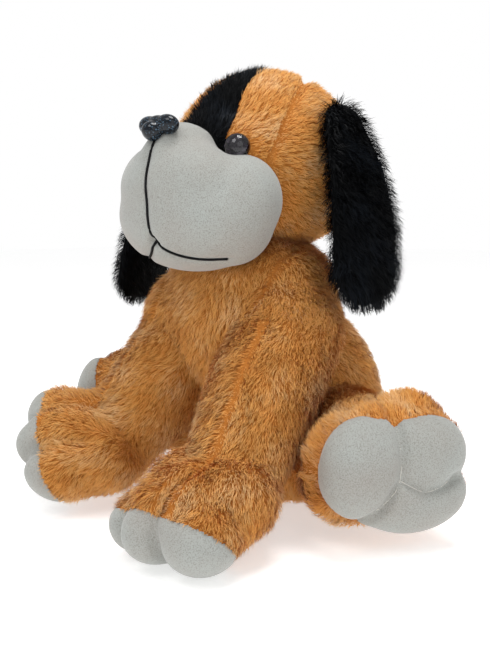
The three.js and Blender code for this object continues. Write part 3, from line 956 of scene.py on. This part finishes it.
def build_leg(leg, name, side, torso_tree):
    pivot = PIVOTS[leg["joint"].format(name)]
    path = [mirrored(point, side) for point in leg["path"][name]]
    foot = pivot + mirrored(leg["foot"][name], side)
    axes = foot_axes(leg, name)
    body = f"{leg['name']}_{name}"
    forms = chain(path, leg["widths"], pivot, grow=-2)
    for offset, radii in [((0, 0, 0), leg["foot_radii"]), *leg["lobes"]]:
        forms.append((foot + axes @ offset, axes @ np.diag(np.array(radii) - 1.5)))
    skin = wrap(f"{body}_skin", forms, FINE_VOXEL + 0.4, 4)
    from_foot = lambda points: (points - foot) @ axes
    stuff(skin, held=toe_lines(leg, from_foot(points_of(skin))) < 2.5, cap=3.0)
    refine(skin)
    press(skin, toe_lines(leg, from_foot(points_of(skin))), 3.6, 3.4)
    ahead = lambda points: to_plane(from_foot(points), *leg["sole"])
    press(skin, np.abs(ahead(points_of(skin))), 1.0, 3.0)
    furry = ramp(-ahead(points_of(skin)), 0, 3)
    press(skin, np.zeros(len(furry)), PILE_ROOM - 0.6, 1.0, where=furry)
    rest_on(skin, leg["floor"] + (0.6 if leg is FRONT else 0.0))
    sole = panel(f"{leg['name']}_sole_velour_{name}", skin, lambda p: ahead(p) > 0)

    line = np.array([pivot + p for p in along(path, 12)[0]] + [foot])

    def flow(points):
        """Pile lies along the leg towards the foot, and over the foot away from the sole."""
        steps = np.diff(line, axis=0)
        nearest = np.argmin(((points[:, None, :] - line[None, :-1, :]) ** 2).sum(axis=2), axis=1)
        down_leg = unit(steps[nearest])
        over_foot = axes @ ((0, 0.4, -1) if leg is FRONT else (0, -1, 0.2))
        share = ramp(np.linalg.norm(points - foot, axis=1), 62, 34)[:, None]
        return down_leg * (1 - share) + over_foot * share

    def length(points):
        """The pile is clipped short along the edge of the sole."""
        return 0.55 + 0.45 * ramp(-ahead(points), 0, 9)

    run = path[-1] - path[0]
    across = np.array([-run[1], run[0], 0]) * side if leg is FRONT else UP
    across = across / np.linalg.norm(across)

    def leg_seam(points):
        """The seam along the outside of the leg and over the foot."""
        distance = to_plane(points, foot + across * leg["seam"] * side, across)
        return np.where(ahead(points) < 0, distance, FAR), np.tile(across, (len(points), 1))

    towards = path[1] / np.linalg.norm(path[1])
    blend = ("torso", body, pivot * MM, (pivot + towards * leg["bend"]) * MM)
    grows = lambda p: (ahead(p) < -0.3) & (p[:, 2] > leg["floor"] + 3) & (depth_in(p, torso_tree) < 2)
    seed = 40 + side + 5 * (leg is HIND)
    for pile in grow_pile(f"{body}_pile", skin, ORANGE_PILE, flow, seed, grows, length, None, leg_seam):
        dress(pile, "orange_pile", blend=blend)
    if leg is FRONT:
        middles, headings = along(path, 14)
        outwards = [np.cross(across * side, heading) for heading in headings]
        insides = [pivot + middle + across * leg["seam"] * side for middle in middles[1:-3]]
        line = laid_on(tree_of(skin), insides, [way * np.sign(way[2]) for way in outwards[1:-3]], 0.2)
        dress(stitches(f"{body}_stitches", line), "seam_thread", blend=blend)
    parts = ["outer", "inner", "stuffing"]
    nodes = [f"{leg['name']}_{part}_{name}" for part in parts]
    dress(skin, "orange_backing", blend=blend, replaces=nodes)
    dress(sole, "velour", blend=blend, replaces=(f"{leg['name']}_sole_{name}",))
    threads = {"hind_toe_thread_{}": leg["creases"]}
    if leg is FRONT:
        pairs = zip("ab", leg["creases"])
        threads = {f"front_toe_thread_{letter}_{{}}": [crease] for letter, crease in pairs}
    tree = tree_of(skin)
    for node, creases in threads.items():
        lines = []
        for crease in creases:
            flat = along([(s, 0, u) for s, u in crease], 12)[0]
            insides = [foot + axes @ (0.5 * s, -4, 0.4 * u) for s, _, u in flat]
            ways = [axes @ (0.5 * s, 26, 0.6 * u) for s, _, u in flat]
            line = laid_on(tree, insides, ways, THREAD * 0.5)
            lines.append(line[ahead(line) > 0])
        thread = tubes(f"sewn_{node.format(name)}", lines, THREAD, sides=6)
        dress(thread, "cream_thread", blend=blend, replaces=(node.format(name),))


def toe_lines(leg, local):
    """How far points, given in a foot's frame, are from the threads that divide its toes."""
    flat = local * [1, 0, 1]
    lines = [np.array([(s, 0, u) for s, u in line], float) for line in leg["creases"]]
    distance = np.min([to_line(flat, line) for line in lines], axis=0)
    return np.hypot(distance, 0.35 * np.maximum(0, leg["crease_from"] - local[:, 1]))


def build_tail():
    pivot = PIVOTS["tail_wag"]
    forms = chain(TAIL["path"], TAIL["widths"], pivot, grow=-PILE_ROOM - 1)
    skin = wrap("tail_skin", forms, FINE_VOXEL, 4)
    stuff(skin, cap=2.0)
    refine(skin)
    blend = ("torso", "tail", pivot * MM, (pivot + [0, 9, 4]) * MM)
    backwards = lambda p: np.tile([0, 0.3, 1.0], (len(p), 1))
    for pile in grow_pile("tail_pile", skin, ORANGE_PILE, backwards, 61):
        dress(pile, "orange_pile", blend=blend)
    nodes = ("tail_left", "tail_right", "tail_stuffing")
    dress(skin, "orange_backing", blend=blend, replaces=nodes)


def assign_node(node, material):
    """A better material on a CAD node that is kept."""
    kept = frame["nodes"][node]
    kept.data.materials.clear()
    kept.data.materials.append(MATERIALS[material])


# ---- Stage -----------------------------------------------------------------------------------------
# Places here are metres. A light has a name, a place, a width and a power.
LIGHTS = [
    ("key", (0.1, -1.0, 1.3), 0.7, 5),
    ("fill", (1.3, -0.7, 0.8), 1.2, 3),
    ("top", (0.2, 0.0, 1.5), 0.7, 11),
]
LIGHTS_AIM = (0, 0, 0.12)
CAMERA = {
    "at": (0.3977, -0.4136, 0.1876),
    "aim": (0, 0.028, 0.1049),
    "lens": 47.6,
    "shift": (-0.0205, 0.0318),
}
FLOOR_REACH = 6


def area_light(name, at, size, energy):
    light = bpy.data.lights.new(name, "AREA")
    light.shape = "DISK"
    light.size = size
    light.energy = energy
    lamp = bpy.data.objects.new(name, light)
    lamp.location = at
    lamp.rotation_euler = (Vector(LIGHTS_AIM) - Vector(at)).to_track_quat("-Z", "Y").to_euler()
    bpy.context.scene.collection.objects.link(lamp)


def build_stage():
    """A white studio: the camera sees a white world, which lights the toy a little less than it looks."""
    scene = bpy.context.scene
    scene.view_settings.view_transform = "Standard"
    world = bpy.data.worlds.new("studio")
    world.use_nodes = True
    world.node_tree.nodes["Background"].inputs["Color"].default_value = (1, 1, 1, 1)
    light_path = world.node_tree.nodes.new("ShaderNodeLightPath")
    strength = world.node_tree.nodes.new("ShaderNodeMapRange")
    strength.inputs["To Min"].default_value = AMBIENT
    world.node_tree.links.new(light_path.outputs["Is Camera Ray"], strength.inputs["Value"])
    background = world.node_tree.nodes["Background"]
    world.node_tree.links.new(strength.outputs["Result"], background.inputs["Strength"])
    scene.world = world
    mesh = bpy.data.meshes.new("floor")
    corners = [(x * FLOOR_REACH, y * FLOOR_REACH, 0) for x, y in ((-1, -1), (1, -1), (1, 1), (-1, 1))]
    mesh.from_pydata(corners, [], [(0, 1, 2, 3)])
    floor = mesh_object("floor", mesh)
    paper = plastic_material("floor_paper", (0.76, 0.76, 0.76), 0.9)
    paper.node_tree.nodes["Principled BSDF"].inputs["Emission Color"].default_value = (1, 1, 1, 1)
    paper.node_tree.nodes["Principled BSDF"].inputs["Emission Strength"].default_value = 0.5
    floor.data.materials.append(paper)
    for light in LIGHTS:
        area_light(*light)
    camera = bpy.data.cameras.new("camera")
    camera.sensor_width = 36
    camera.lens = CAMERA["lens"]
    camera.shift_x, camera.shift_y = CAMERA["shift"]
    view = bpy.data.objects.new("camera", camera)
    view.location = CAMERA["at"]
    view.rotation_euler = (Vector(CAMERA["aim"]) - view.location).to_track_quat("-Z", "Y").to_euler()
    scene.collection.objects.link(view)
    scene.camera = view


build_head()
torso_tree = tree_of(build_torso())
for side_name, side_sign in SIDES.items():
    build_ear(side_name, side_sign)
    for limb in (FRONT, HIND):
        build_leg(limb, side_name, side_sign, torso_tree)
build_tail()
for cad_node in ("nose_washer", "eye_washer_left", "eye_washer_right"):
    assign_node(cad_node, "washer")
build_stage()
